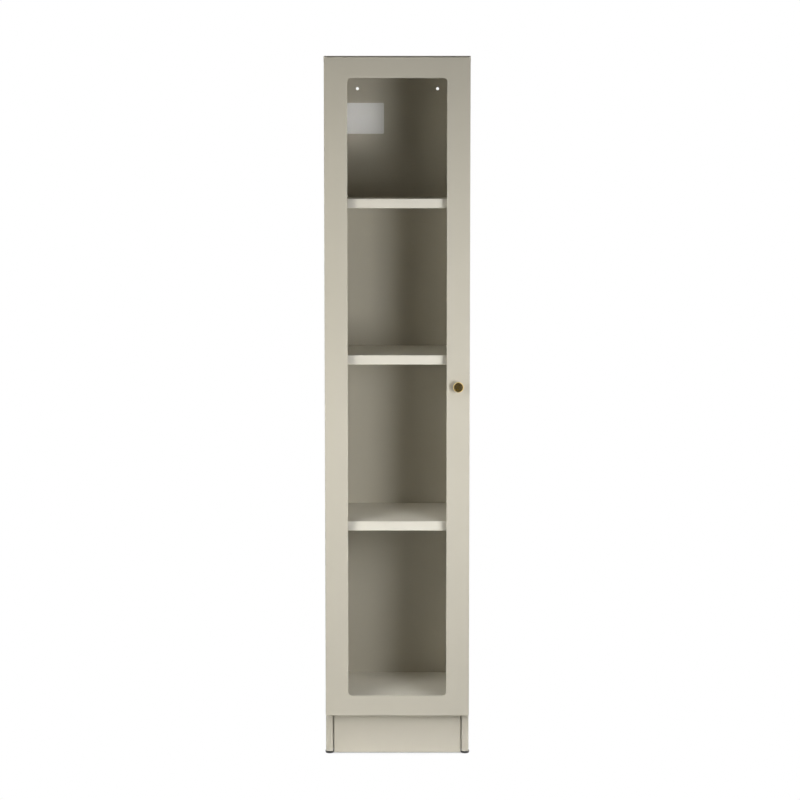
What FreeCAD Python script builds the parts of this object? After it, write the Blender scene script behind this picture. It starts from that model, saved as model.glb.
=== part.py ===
import FreeCAD, Part
import math
import os

import Sketcher

# Tall narrow display cabinet of folded sheet steel with one glazed door.
# Origin on the ground at the middle of the whole outline, X to the viewer's right, Y to the back, Z up.

os.makedirs("parts", exist_ok=True)
doc = FreeCAD.newDocument("display_cabinet")
sheet = doc.addObject("Spreadsheet::Sheet", "Sizes")

# Driving dimensions in millimetres. The heights of the cabinet, floor and shelves count from the ground.
dimensions = {
    # whole cabinet
    "cabinet_height": 1845,
    "carcass_width": 380,
    "carcass_depth": 355,
    "sheet_thickness": 1,
    "bend_radius": 1,
    "fit_gap": 0.3,
    "cut_overrun": 5,
    # folded side panels, which run down to the feet as legs, and the cap on top of them
    "front_flange": 18.5,
    "flange_lip": 6,
    "rear_flange": 18.5,
    "cap_flange": 16,
    # floor panel, shelves and the brackets that carry them
    "floor_height": 145,
    "shelf_lower_height": 625,
    "shelf_middle_height": 1066,
    "shelf_upper_height": 1476,
    "shelf_lip": 25,
    "shelf_return": 12,
    "bracket_thickness": 2,
    "bracket_length": 30,
    "bracket_ledge": 12,
    "bracket_leaf": 14,
    "bracket_setback": 45,
    # plinth between the front legs
    "plinth_clearance": 2,
    "plinth_side_gap": 2.5,
    "plinth_return": 15,
    # feet
    "foot_diameter": 22.4,
    "foot_height": 7,
    "foot_edge": 3,
    "foot_setback": 13,
    "foot_stem_diameter": 8,
    "foot_stem_length": 14,
    "foot_plate_thickness": 2,
    "foot_plate_depth": 27,
    # back panel with its wall holes and screws
    "back_flange": 12,
    "wall_hole_diameter": 8,
    "wall_hole_spacing": 220,
    "wall_hole_drop": 73,
    "screw_diameter": 4,
    "screw_head_diameter": 8,
    "screw_head_height": 1.8,
    "screw_length": 4,
    # door
    "door_bottom": 108.5,
    "door_top_drop": 4,
    "door_thickness": 18,
    "door_gap": 4,
    "door_stile": 60.5,
    "door_rail": 54,
    "door_lip": 16,
    "window_radius": 10,
    # glazing, held behind the window by folded retainers on welded studs
    "glass_thickness": 4,
    "glass_overlap": 10,
    "tape_thickness": 1,
    "tape_inset": 2,
    "tape_width": 6,
    "retainer_inset": 3,
    "stud_diameter": 4,
    "stud_length": 6,
    "stud_end_distance": 60,
    "nut_width": 7,
    "nut_height": 3.2,
    # pivot hinge on the left
    "pivot_inset": 7,
    "pin_diameter": 5,
    "pin_clearance": 0.05,
    "pin_reach": 12,
    "pin_tip_chamfer": 0.8,
    "pin_head_diameter": 8,
    "pin_head_height": 1.2,
    "bush_wall": 1.5,
    "bush_length": 9,
    "bush_flange_width": 1,
    "bush_flange_thickness": 0.7,
    "hinge_plate_thickness": 2,
    "hinge_leaf": 24,
    "hinge_eye_diameter": 12,
    # magnetic catches and bumpers on the right
    "catch_body_diameter": 9,
    "catch_body_length": 11,
    "catch_collar_diameter": 12,
    "catch_collar_height": 2,
    "magnet_diameter": 6,
    "magnet_seat": 6,
    "catch_end_distance": 330,
    "bumper_diameter": 10,
    "bumper_edge": 1,
    "bumper_end_distance": 70,
    # knob
    "knob_rise": 11,
    "knob_diameter": 28,
    "knob_projection": 24,
    "knob_base_diameter": 13,
    "knob_base_height": 2.5,
    "knob_base_taper": 2.5,
    "knob_neck_diameter": 9,
    "knob_neck_height": 12,
    "knob_flare_height": 17,
    "knob_rim_radius": 2.4,
    "knob_bore_depth": 12,
}
for row, (alias, number) in enumerate(dimensions.items(), 1):
    sheet.set(f"A{row}", alias)
    sheet.set(f"B{row}", str(number))
    sheet.setAlias(f"B{row}", alias)
doc.recompute()

# Share of the knob head's overhang at the middle of the flare under it.
knob_flare_share = 0.35
# Share of a foot's edge that its middle facet keeps clear of the square corner.
foot_facet_share = 0.3
# How near an edge has to lie to a corner to be taken as the edge at that corner.
touch = 1e-4


class Size:
    # A number together with the formula on the sheet's cells that gives it.
    def __init__(self, value, text):
        self.value = value
        self.text = text

    def __add__(self, other):
        return Size(self.value + other.value, f"({self.text} + {other.text})")

    def __sub__(self, other):
        return Size(self.value - other.value, f"({self.text} - {other.text})")

    def __neg__(self):
        return Size(-self.value, f"(-1 * {self.text})")

    def __mul__(self, factor):
        return Size(self.value * factor, f"({self.text} * {factor})")

    def __truediv__(self, divisor):
        return Size(self.value / divisor, f"({self.text} / {divisor})")


class Dimensions:
    # Each alias of the sheet as a Size.
    def __getattr__(self, alias):
        return Size(float(sheet.get(alias)), f"Sizes.{alias}")


d = Dimensions()
zero = Size(0, "0")

# Reference planes and sizes that several sub-parts share.
wall = d.sheet_thickness
bend_outer = d.bend_radius + wall
half_width = d.carcass_width / 2
door_half = half_width
cabinet_depth = d.door_thickness + d.door_gap + d.carcass_depth + wall + d.screw_head_height
half_depth = (d.knob_projection + cabinet_depth) / 2
door_front = d.knob_projection - half_depth
door_rear = door_front + d.door_thickness
carcass_front = door_rear + d.door_gap
carcass_rear = carcass_front + d.carcass_depth
under_cap = d.cabinet_height - wall
door_top = d.cabinet_height - d.door_top_drop
back_rear = carcass_rear - wall
back_front = back_rear - wall
shelf_front = carcass_front + d.flange_lip + d.fit_gap
shelf_rear = back_front - d.fit_gap
shelf_half = half_width - (wall + d.fit_gap) * 2
floor_underside = d.floor_height - d.shelf_lip
lip_face = half_width - d.front_flange
window_half = door_half - d.door_stile
window_low = d.door_bottom + d.door_rail
window_high = door_top - d.door_rail
pivot_x = d.pivot_inset - door_half
pivot_y = door_rear - d.pivot_inset
pin_radius = d.pin_diameter / 2
bush_bore = pin_radius + d.pin_clearance
bush_radius = bush_bore + d.bush_wall
knob_x = door_half - d.door_stile / 2
knob_z = (d.door_bottom + door_top) / 2 + d.knob_rise
flange_middle = half_width - d.front_flange / 2
shelf_heights = {
    "shelf_lower": d.shelf_lower_height,
    "shelf_middle": d.shelf_middle_height,
    "shelf_upper": d.shelf_upper_height,
}

subparts = []
plane_axes = {"XY_Plane": ("x", "y"), "XZ_Plane": ("x", "z"), "YZ_Plane": ("y", "z")}


def new_body(label):
    body = doc.addObject("PartDesign::Body", label)
    body.Label = label
    body.AllowCompound = True
    subparts.append(body)
    return body


def new_sketch(body, role, level):
    # A sketch on one of the body's origin planes, moved to a level along the axis that the plane faces.
    plane = next(f for f in body.Origin.OriginFeatures if f.Role == role)
    sketch = body.newObject("Sketcher::SketchObject", f"{body.Name}_sketch")
    sketch.AttachmentSupport = [(plane, "")]
    sketch.MapMode = "FlatFace"
    # the XZ plane faces the front, against Y
    offset = -level if role == "XZ_Plane" else level
    sketch.setExpression("AttachmentOffset.Base.z", offset.text)
    return sketch


def pin_down(sketch, kind, size, *where):
    number = sketch.addConstraint(Sketcher.Constraint(kind, *where, size.value))
    sketch.setExpression(f"Constraints[{number}]", size.text)


def polygon(sketch, corners):
    first = sketch.GeometryCount
    count = len(corners)
    points = [FreeCAD.Vector(across.value, up.value, 0) for across, up in corners]
    for i in range(count):
        sketch.addGeometry(Part.LineSegment(points[i], points[(i + 1) % count]), False)
    for i in range(count):
        sketch.addConstraint(Sketcher.Constraint("Coincident", first + i, 2, first + (i + 1) % count, 1))
    for i, (across, up) in enumerate(corners):
        pin_down(sketch, "DistanceX", across, -1, 1, first + i, 1)
        pin_down(sketch, "DistanceY", up, -1, 1, first + i, 1)


def circle(sketch, centre, radius):
    across, up = centre
    middle = FreeCAD.Vector(across.value, up.value, 0)
    number = sketch.addGeometry(Part.Circle(middle, FreeCAD.Vector(0, 0, 1), radius.value), False)
    pin_down(sketch, "DistanceX", across, -1, 1, number, 3)
    pin_down(sketch, "DistanceY", up, -1, 1, number, 3)
    pin_down(sketch, "Radius", radius, number)


def rectangle(left, right, low, high):
    return [(left, low), (right, low), (right, high), (left, high)]


def pad(body, role, level, length, outlines=(), circles=()):
    # Material from the sketch's level, along the axis that its plane faces.
    return draw_feature(body, "PartDesign::Pad", role, level, length, outlines, circles)


def cut(body, role, level, length, outlines=(), circles=()):
    # A pocket from the sketch's level, along the axis that its plane faces.
    before = body.Shape.Volume
    pocket = draw_feature(body, "PartDesign::Pocket", role, level, length, outlines, circles)
    if not body.Shape.Volume < before:
        raise RuntimeError(f"{body.Label}: {pocket.Name} cuts nothing")


def draw_feature(body, kind, role, level, length, outlines, circles):
    sketch = new_sketch(body, role, level)
    for corners in outlines:
        polygon(sketch, corners)
    for centre, radius in circles:
        circle(sketch, centre, radius)
    feature = body.newObject(kind, f"{body.Name}_feature")
    feature.Profile = sketch
    feature.Reversed = kind == "PartDesign::Pocket"
    feature.setExpression("Length", length.text)
    doc.recompute()
    return feature


def round_edges(body, radius, wanted):
    dress_edges(body, "PartDesign::Fillet", "Radius", radius, wanted)


def chamfer_edges(body, size, wanted):
    dress_edges(body, "PartDesign::Chamfer", "Size", size, wanted)


def dress_edges(body, kind, driven, size, wanted):
    names = [f"Edge{n}" for n, edge in enumerate(body.Shape.Edges, 1) if wanted(edge)]
    if not names:
        raise RuntimeError(f"{body.Label}: no edge to dress")
    base = body.Tip
    dressing = body.newObject(kind, f"{body.Name}_dressing")
    dressing.Base = (base, names)
    dressing.setExpression(driven, size.text)
    doc.recompute()


def stands_at(corners, role):
    # Picks the straight edges that stand square on a sketch plane at given corners.
    axes = plane_axes[role]

    def near(vertex, corner):
        return all(abs(getattr(vertex.Point, a) - size.value) < touch for a, size in zip(axes, corner))

    def wanted(edge):
        ends = edge.Vertexes
        return len(ends) == 2 and any(all(near(v, corner) for v in ends) for corner in corners)

    return wanted


def lies_at(axis, level):
    # Picks the edges that lie wholly at one level of an axis.
    def wanted(edge):
        return all(abs(getattr(v.Point, axis) - level.value) < touch for v in edge.Vertexes)

    return wanted


def folded(path, thickness):
    # Outer and inner corners of a sheet folded square along a path, with its material on the left.
    normals = []
    for (ax, ay), (bx, by) in zip(path, path[1:]):
        run_x = bx.value - ax.value
        run_y = by.value - ay.value
        length = abs(run_x) + abs(run_y)
        normals.append((round(-run_y / length), round(run_x / length)))
    inner = []
    for i, (across, up) in enumerate(path):
        beside = normals[max(i - 1, 0) : i + 1]
        step_across = thickness * sum(n[0] for n in beside)
        step_up = thickness * sum(n[1] for n in beside)
        inner.append((across + step_across, up + step_up))
    return path, inner


def fold_sheet(body, role, level, length, path):
    # A folded strip of sheet with true bends.
    outer, inner = folded(path, wall)
    pad(body, role, level, length, [outer + inner[::-1]])
    round_edges(body, bend_outer, stands_at(outer[1:-1], role))
    round_edges(body, d.bend_radius, stands_at(inner[1:-1], role))


def turn(body, profile):
    # A turned piece about its own Z axis, from corners given as radius and height.
    sketch = new_sketch(body, "XZ_Plane", zero)
    polygon(sketch, profile)
    revolution = body.newObject("PartDesign::Revolution", f"{body.Name}_turning")
    revolution.Profile = sketch
    revolution.ReferenceAxis = (sketch, ["V_Axis"])
    doc.recompute()


def place(body, x, y, z, facing="up"):
    # Puts a turned piece in its place, standing up or facing the front.
    if facing == "front":
        body.Placement = FreeCAD.Placement(FreeCAD.Vector(), FreeCAD.Rotation(FreeCAD.Vector(1, 0, 0), 90))
    for axis, size in zip("xyz", (x, y, z)):
        body.setExpression(f"Placement.Base.{axis}", size.text)
    doc.recompute()


def mirrored(corners, hand):
    return [(across * hand, up) for across, up in corners]


# Places that more than one piece shares: screws, hinge ears, catches.
# The back's screws sit halfway up each compartment, clear of the shelves.
through = wall + d.fit_gap * 2
levels = [d.floor_height, *shelf_heights.values(), under_cap]
back_screw_heights = [(low + high) / 2 for low, high in zip(levels, levels[1:])]
back_screw_places = [(flange_middle * hand, z) for hand in (-1, 1) for z in back_screw_heights]
cap_screw_z = d.cabinet_height - d.cap_flange / 2
cap_screw_places = [(flange_middle * hand, cap_screw_z) for hand in (-1, 1)]
lower_ear_top = d.door_bottom - d.bush_flange_thickness - d.fit_gap
upper_ear_top = under_cap
ear_left = wall + d.bend_radius + d.fit_gap - half_width
ear_right = -(lip_face + wall + d.bend_radius + d.fit_gap)
catch_heights = {
    "lower": d.door_bottom + d.catch_end_distance,
    "upper": door_top - d.catch_end_distance,
}
bumper_heights = (d.door_bottom + d.bumper_end_distance, door_top - d.bumper_end_distance)


def ear_slot(ear_top, top):
    low = ear_top - d.hinge_plate_thickness - d.fit_gap
    return rectangle(ear_left - d.fit_gap, ear_right + d.fit_gap, low, top)


def side_panel(label, hand):
    # C-folded sheet: lip, front flange, web and rear flange.
    body = new_body(label)
    path = [
        (lip_face, carcass_front + d.flange_lip),
        (lip_face, carcass_front),
        (half_width, carcass_front),
        (half_width, carcass_rear),
        (half_width - d.rear_flange, carcass_rear),
    ]
    outer, inner = folded(path, wall)
    outer = mirrored(outer, hand)
    inner = mirrored(inner, hand)
    pad(body, "XY_Plane", d.foot_height, under_cap - d.foot_height, [outer + inner[::-1]])
    round_edges(body, bend_outer, stands_at(outer[1:-1], "XY_Plane"))
    round_edges(body, d.bend_radius, stands_at(inner[1:-1], "XY_Plane"))
    own = [spot for spot in back_screw_places + cap_screw_places if spot[0].value * hand > 0]
    holes = [(spot, d.screw_diameter / 2) for spot in own]
    cut(body, "XZ_Plane", carcass_rear + d.fit_gap, through, circles=holes)
    return body


left_side = side_panel("left_side_panel", -1)
front_cut = carcass_front + wall + d.fit_gap
slots = [
    ear_slot(lower_ear_top, lower_ear_top + d.fit_gap),
    ear_slot(upper_ear_top, upper_ear_top + d.cut_overrun),
]
cut(left_side, "XZ_Plane", front_cut, through, slots)

right_side = side_panel("right_side_panel", 1)
catch_holes = [((flange_middle, z), d.catch_body_diameter / 2) for z in catch_heights.values()]
cut(right_side, "XZ_Plane", front_cut, through, circles=catch_holes)

# Cap over the side panels, with turned-down edges all round and a slot for the upper hinge ear.
cap_half = half_width + wall
cap_low = d.cabinet_height - d.cap_flange
top_panel = new_body("top_panel")
cap_outline = rectangle(-cap_half, cap_half, carcass_front - wall, carcass_rear + wall)
pad(top_panel, "XY_Plane", cap_low, d.cap_flange, [cap_outline])
stands = stands_at(cap_outline, "XY_Plane")
tops = lies_at("z", d.cabinet_height)
round_edges(top_panel, bend_outer, lambda edge: stands(edge) or tops(edge))
hollow = rectangle(-half_width, half_width, carcass_front, carcass_rear)
cut(top_panel, "XY_Plane", cap_low - d.cut_overrun, d.cap_flange - wall + d.cut_overrun, [hollow])
cut(top_panel, "XZ_Plane", carcass_front + d.fit_gap, through, [ear_slot(upper_ear_top, upper_ear_top)])
cap_holes = [(spot, d.screw_diameter / 2) for spot in cap_screw_places]
cut(top_panel, "XZ_Plane", carcass_rear + wall + d.fit_gap, through, circles=cap_holes)


def tray(label, top_height):
    # Shelf folded down on four sides, with returns along the lower edges.
    body = new_body(label)
    low = top_height - d.shelf_lip
    outline = rectangle(-shelf_half, shelf_half, shelf_front, shelf_rear)
    pad(body, "XY_Plane", low, d.shelf_lip, [outline])
    round_edges(body, bend_outer, lambda edge: True)
    inset = shelf_half - d.shelf_return
    mouth = rectangle(-inset, inset, shelf_front + d.shelf_return, shelf_rear - d.shelf_return)
    cut(body, "XY_Plane", low - d.cut_overrun, d.shelf_lip - wall + d.cut_overrun, [mouth])
    inside = shelf_half - wall
    hollow = rectangle(-inside, inside, shelf_front + wall, shelf_rear - wall)
    cut(body, "XY_Plane", low + wall, d.shelf_lip - wall * 2, [hollow])


def shelf_brackets(label, shelf_underside):
    # Four small angles welded to the side panels, two a side, under the shelf's edges.
    body = new_body(label)
    web = half_width - wall
    ledge_low = shelf_underside - d.bracket_thickness
    angle = [
        (web, shelf_underside),
        (web - d.bracket_ledge, shelf_underside),
        (web - d.bracket_ledge, ledge_low),
        (web - d.bracket_thickness, ledge_low),
        (web - d.bracket_thickness, shelf_underside - d.bracket_leaf),
        (web, shelf_underside - d.bracket_leaf),
    ]
    angles = [mirrored(angle, hand) for hand in (-1, 1)]
    for rear_end in (shelf_front + d.bracket_setback + d.bracket_length, shelf_rear - d.bracket_setback):
        pad(body, "XZ_Plane", rear_end, d.bracket_length, angles)


tray("floor_panel", d.floor_height)
shelf_brackets("floor_brackets", floor_underside)
for label, height in shelf_heights.items():
    tray(label, height)
    shelf_brackets(f"{label}_brackets", height - d.shelf_lip)

# Back panel in front of the rear flanges, its upright edges folded forward along the webs.
back_half = half_width - wall - d.fit_gap
back_panel = new_body("back_panel")
back_path = [
    (back_half, back_rear - d.back_flange),
    (back_half, back_rear),
    (-back_half, back_rear),
    (-back_half, back_rear - d.back_flange),
]
fold_sheet(back_panel, "XY_Plane", floor_underside, under_cap - d.fit_gap - floor_underside, back_path)
wall_hole_height = d.cabinet_height - d.wall_hole_drop
wall_hole_spots = [(d.wall_hole_spacing / 2 * hand, wall_hole_height) for hand in (-1, 1)]
wall_holes = [(spot, d.wall_hole_diameter / 2) for spot in wall_hole_spots]
screw_holes = [(spot, d.screw_diameter / 2) for spot in back_screw_places]
cut(back_panel, "XZ_Plane", back_rear + d.fit_gap, through, circles=wall_holes + screw_holes + cap_holes)

# Plinth recessed between the front legs, hung under the floor panel.
plinth_half = lip_face - d.plinth_side_gap
plinth = new_body("plinth_panel")
plinth_rear = shelf_front + d.plinth_return
plinth_outline = rectangle(-plinth_half, plinth_half, shelf_front, plinth_rear)
plinth_height = floor_underside - d.plinth_clearance
pad(plinth, "XY_Plane", d.plinth_clearance, plinth_height, [plinth_outline])
round_edges(plinth, bend_outer, lies_at("y", shelf_front))
plinth_inside = rectangle(
    wall - plinth_half, plinth_half - wall, d.plinth_clearance + wall, floor_underside - wall
)
plinth_depth = d.plinth_return - wall + d.cut_overrun
cut(plinth, "XZ_Plane", plinth_rear + d.cut_overrun, plinth_depth, [plinth_inside])
# Tabs folded out behind the legs close the gaps beside the plinth and are welded to the side panels.
tab_low = d.foot_height + d.foot_plate_thickness + d.fit_gap
tab = rectangle(plinth_half - wall, half_width - wall, plinth_rear - wall, plinth_rear)
pad(plinth, "XY_Plane", tab_low, floor_underside - tab_low, [mirrored(tab, hand) for hand in (-1, 1)])

# Feet: plastic glides whose stems plug into plates welded across the leg ends.
foot_radius = d.foot_diameter / 2
foot_facet = d.foot_edge * foot_facet_share
stem_radius = d.foot_stem_diameter / 2
stem_top = d.foot_height + d.foot_stem_length
foot_places = {
    "front": carcass_front + d.foot_setback,
    "rear": carcass_rear - d.foot_setback,
}
for depth_name, foot_y in foot_places.items():
    for side_name, hand in (("left", -1), ("right", 1)):
        foot = new_body(f"foot_{depth_name}_{side_name}")
        turn(foot, [
            (zero, zero),
            (foot_radius - d.foot_edge, zero),
            (foot_radius - foot_facet, foot_facet),
            (foot_radius, d.foot_edge),
            (foot_radius, d.foot_height),
            (stem_radius, d.foot_height),
            (stem_radius, stem_top),
            (zero, stem_top),
        ])
        place(foot, flange_middle * hand, foot_y, zero)

foot_plates = new_body("foot_plates")
plate_inner = lip_face + wall
plate_outer = half_width - wall
front_plate = (carcass_front + wall, carcass_front + wall + d.foot_plate_depth)
rear_plate = (carcass_rear - wall - d.foot_plate_depth, carcass_rear - wall)
plates = []
for near, far in (front_plate, rear_plate):
    plates += [mirrored(rectangle(plate_inner, plate_outer, near, far), hand) for hand in (-1, 1)]
pad(foot_plates, "XY_Plane", d.foot_height, d.foot_plate_thickness, plates)
plate_corners = [corner for plate in plates for corner in plate]
round_edges(foot_plates, bend_outer, stands_at(plate_corners, "XY_Plane"))
stem_holes = [
    ((flange_middle * hand, foot_y), stem_radius) for hand in (-1, 1) for foot_y in foot_places.values()
]
plate_cut = d.foot_plate_thickness + d.cut_overrun * 2
cut(foot_plates, "XY_Plane", d.foot_height - d.cut_overrun, plate_cut, circles=stem_holes)


def hinge_bracket(label, ear_top):
    # Leaf welded behind the left front flange, with an ear that passes forward through the flange.
    body = new_body(label)
    leaf_front = carcass_front + wall
    leaf_rear = leaf_front + d.hinge_plate_thickness
    ear_low = ear_top - d.hinge_plate_thickness
    bent = [
        (pivot_y, ear_top),
        (leaf_rear, ear_top),
        (leaf_rear, ear_top - d.hinge_leaf),
        (leaf_front, ear_top - d.hinge_leaf),
        (leaf_front, ear_low),
        (pivot_y, ear_low),
    ]
    pad(body, "YZ_Plane", ear_left, ear_right - ear_left, [bent])
    pivot = (pivot_x, pivot_y)
    pad(body, "XY_Plane", ear_low, d.hinge_plate_thickness, circles=[(pivot, d.hinge_eye_diameter / 2)])
    bore = d.hinge_plate_thickness + d.cut_overrun * 2
    cut(body, "XY_Plane", ear_low - d.cut_overrun, bore, circles=[(pivot, pin_radius)])


hinge_bracket("lower_hinge_bracket", lower_ear_top)
hinge_bracket("upper_hinge_bracket", upper_ear_top)

# Pins fixed in the ears: the lower one is headed and points up, the upper one points down.
pin_length = d.hinge_plate_thickness + d.pin_reach
tip_radius = pin_radius - d.pin_tip_chamfer
lower_pin = new_body("lower_hinge_pin")
turn(lower_pin, [
    (zero, -d.pin_head_height),
    (d.pin_head_diameter / 2, -d.pin_head_height),
    (d.pin_head_diameter / 2, zero),
    (pin_radius, zero),
    (pin_radius, pin_length - d.pin_tip_chamfer),
    (tip_radius, pin_length),
    (zero, pin_length),
])
place(lower_pin, pivot_x, pivot_y, lower_ear_top - d.hinge_plate_thickness)
upper_pin = new_body("upper_hinge_pin")
turn(upper_pin, [
    (zero, -pin_length),
    (tip_radius, -pin_length),
    (pin_radius, d.pin_tip_chamfer - pin_length),
    (pin_radius, zero),
    (zero, zero),
])
place(upper_pin, pivot_x, pivot_y, upper_ear_top)

# Bushes in the door's lower and upper edges. The lower flange is the thrust washer that carries the door.
bush_collar = bush_radius + d.bush_flange_width
lower_bush = new_body("lower_hinge_bush")
turn(lower_bush, [
    (bush_bore, -d.bush_flange_thickness),
    (bush_collar, -d.bush_flange_thickness),
    (bush_collar, zero),
    (bush_radius, zero),
    (bush_radius, d.bush_length),
    (bush_bore, d.bush_length),
])
place(lower_bush, pivot_x, pivot_y, d.door_bottom)
upper_bush = new_body("upper_hinge_bush")
turn(upper_bush, [
    (bush_bore, -d.bush_length),
    (bush_radius, -d.bush_length),
    (bush_radius, -(wall + d.bush_flange_thickness)),
    (bush_collar, -(wall + d.bush_flange_thickness)),
    (bush_collar, -wall),
    (bush_radius, -wall),
    (bush_radius, zero),
    (bush_bore, zero),
])
place(upper_bush, pivot_x, pivot_y, door_top)

# Push-in magnetic catches in the right front flange. The door's own lip is the steel they hold.
magnet_radius = d.magnet_diameter / 2
magnet_face = d.door_gap - d.fit_gap
for level_name, height in catch_heights.items():
    housing = new_body(f"{level_name}_catch_housing")
    turn(housing, [
        (zero, -d.catch_body_length),
        (d.catch_body_diameter / 2, -d.catch_body_length),
        (d.catch_body_diameter / 2, zero),
        (d.catch_collar_diameter / 2, zero),
        (d.catch_collar_diameter / 2, d.catch_collar_height),
        (magnet_radius, d.catch_collar_height),
        (magnet_radius, -d.magnet_seat),
        (zero, -d.magnet_seat),
    ])
    place(housing, flange_middle, carcass_front, height, "front")
    magnet = new_body(f"{level_name}_catch_magnet")
    turn(magnet, rectangle(zero, magnet_radius, -d.magnet_seat, magnet_face))
    place(magnet, flange_middle, carcass_front, height, "front")

bumpers = new_body("door_bumpers")
bumper_spots = [((flange_middle, z), d.bumper_diameter / 2) for z in bumper_heights]
pad(bumpers, "XZ_Plane", carcass_front, magnet_face, circles=bumper_spots)
chamfer_edges(bumpers, d.bumper_edge, lies_at("y", carcass_front - magnet_face))


def screws(label, seat, places):
    # Low round heads on the rear faces, with shanks forward through the sheets.
    body = new_body(label)
    heads = [(spot, d.screw_head_diameter / 2) for spot in places]
    shanks = [(spot, d.screw_diameter / 2) for spot in places]
    pad(body, "XZ_Plane", seat + d.screw_head_height, d.screw_head_height, circles=heads)
    chamfer_edges(body, d.screw_head_height / 2, lies_at("y", seat + d.screw_head_height))
    pad(body, "XZ_Plane", seat, d.screw_length, circles=shanks)


screws("back_screws", carcass_rear, back_screw_places)
screws("top_screws", carcass_rear + wall, cap_screw_places)

# Door: folded tray with a rounded window, rear lips, and holes for the bushes and the knob's screw.
door = new_body("door_frame")
door_outline = rectangle(-door_half, door_half, d.door_bottom, door_top)
pad(door, "XZ_Plane", door_rear, d.door_thickness, [door_outline])
round_edges(door, bend_outer, lambda edge: True)
lip_half = door_half - d.door_lip
mouth = rectangle(-lip_half, lip_half, d.door_bottom + d.door_lip, door_top - d.door_lip)
cut(door, "XZ_Plane", door_rear + d.cut_overrun, d.door_thickness - wall + d.cut_overrun, [mouth])
inside_half = door_half - wall
inside = rectangle(-inside_half, inside_half, d.door_bottom + wall, door_top - wall)
cut(door, "XZ_Plane", door_rear - wall, d.door_thickness - wall * 2, [inside])
window = rectangle(-window_half, window_half, window_low, window_high)
cut(door, "XZ_Plane", door_front + wall + d.fit_gap, through, [window])
round_edges(door, d.window_radius, stands_at(window, "XZ_Plane"))
pivot_hole = [((pivot_x, pivot_y), bush_radius)]
cut(door, "XY_Plane", d.door_bottom - d.fit_gap, through, circles=pivot_hole)
cut(door, "XY_Plane", door_top - wall - d.fit_gap, through, circles=pivot_hole)
screw_hole = [((knob_x, knob_z), d.screw_diameter / 2)]
cut(door, "XZ_Plane", door_front + wall + d.fit_gap, through, circles=screw_hole)

# Glazing: tape on the inside of the window, the pane on it, and retainers over the pane's edges.
sheet_inside = door_front + wall
pane_front = sheet_inside + d.tape_thickness
pane_rear = pane_front + d.glass_thickness
pane_half = window_half + d.glass_overlap
pane_low = window_low - d.glass_overlap
pane_high = window_high + d.glass_overlap

pane = doc.addObject("Part::Box", "glass_pane")
pane.Label = "glass_pane"
pane.setExpression("Length", (pane_half * 2).text)
pane.setExpression("Width", d.glass_thickness.text)
pane.setExpression("Height", (pane_high - pane_low).text)
for axis, size in zip("xyz", (-pane_half, pane_front, pane_low)):
    pane.setExpression(f"Placement.Base.{axis}", size.text)
subparts.append(pane)

tape = new_body("glazing_tape")
tape_inner = d.tape_inset
tape_outer = d.tape_inset + d.tape_width


def around_window(margin):
    half = window_half + margin
    return rectangle(-half, half, window_low - margin, window_high + margin)


pad(tape, "XZ_Plane", pane_front, d.tape_thickness, [around_window(tape_outer), around_window(tape_inner)])

# A retainer's section, as distance out from the window's edge and depth: over the pane, down its edge,
# and a foot that is as wide as the nuts on it need.
nut_room = d.nut_width / math.sqrt(3) + d.fit_gap
step_out = d.glass_overlap + d.fit_gap
stud_out = step_out + wall + nut_room
retainer_end = stud_out + nut_room
foot_rear = sheet_inside + wall
section = [
    (d.retainer_inset, pane_rear),
    (d.retainer_inset, pane_rear + wall),
    (step_out + wall, pane_rear + wall),
    (step_out + wall, foot_rear),
    (retainer_end, foot_rear),
    (retainer_end, sheet_inside),
    (step_out, sheet_inside),
    (step_out, pane_rear),
]
stud_radius = d.stud_diameter / 2
upright_low = window_low - d.retainer_inset
upright_length = window_high - window_low + d.retainer_inset * 2
cross_half = window_half + d.retainer_inset - d.fit_gap
upright_stud_heights = [
    window_low + d.stud_end_distance,
    window_low + (window_high - window_low) / 3,
    window_high - (window_high - window_low) / 3,
    window_high - d.stud_end_distance,
]
cross_stud_x = window_half - d.stud_end_distance
stud_circles = []
for side_name, hand in (("left", -1), ("right", 1)):
    retainer = new_body(f"glass_retainer_{side_name}")
    upright = [((window_half + out) * hand, depth) for out, depth in section]
    pad(retainer, "XY_Plane", upright_low, upright_length, [upright])
    holes = [(((window_half + stud_out) * hand, z), stud_radius) for z in upright_stud_heights]
    cut(retainer, "XZ_Plane", foot_rear + d.fit_gap, through, circles=holes)
    stud_circles += holes
for end_name, edge, hand in (("bottom", window_low, -1), ("top", window_high, 1)):
    retainer = new_body(f"glass_retainer_{end_name}")
    crossing = [(depth, edge + out * hand) for out, depth in section]
    pad(retainer, "YZ_Plane", -cross_half, cross_half * 2, [crossing])
    holes = [((cross_stud_x * side, edge + stud_out * hand), stud_radius) for side in (-1, 1)]
    cut(retainer, "XZ_Plane", foot_rear + d.fit_gap, through, circles=holes)
    stud_circles += holes


def hexagon(centre, width):
    across, up = centre
    angles = [math.radians(60 * i) for i in range(6)]
    corner = width / math.sqrt(3)
    return [(across + corner * math.cos(angle), up + corner * math.sin(angle)) for angle in angles]


studs = new_body("retainer_studs")
pad(studs, "XZ_Plane", sheet_inside + d.stud_length, d.stud_length, circles=stud_circles)
nuts = new_body("retainer_nuts")
for stud in stud_circles:
    flats = hexagon(stud[0], d.nut_width)
    pad(nuts, "XZ_Plane", foot_rear + d.nut_height, d.nut_height, [flats], [stud])

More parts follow.
